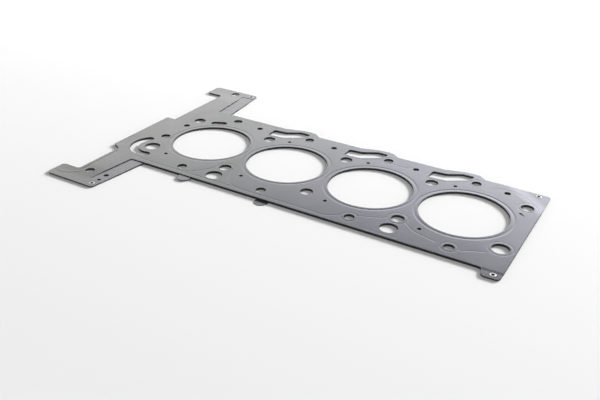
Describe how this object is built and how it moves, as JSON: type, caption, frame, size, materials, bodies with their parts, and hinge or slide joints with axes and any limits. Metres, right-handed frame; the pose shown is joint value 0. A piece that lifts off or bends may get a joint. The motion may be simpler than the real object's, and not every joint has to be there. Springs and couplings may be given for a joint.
{
  "type": "cylinder head gasket",
  "caption": "Multi-layer steel cylinder head gasket for an in-line engine, with beaded bores, coolant and oil openings, and two hooked arms round the timing cover.",
  "frame": {"origin": "middle of the cylinder bank, on the face that lies on the block", "axes": "+X along the cylinder bank, away from the timing end; +Z to the cylinder head, along the bores"},
  "size_m": [0.4605, 0.301, 0.0024],
  "materials": {
    "outer_sheets": "thin matte grey coating on spring steel",
    "carrier": "plain cold-rolled steel",
    "eyelets": "bright plated steel"
  },
  "bodies": {
    "root": {"bottom_sheet": "outer_sheets", "carrier_sheet": "carrier", "top_sheet": "outer_sheets", "eyelets": "eyelets"}
  },
  "joints": []
}
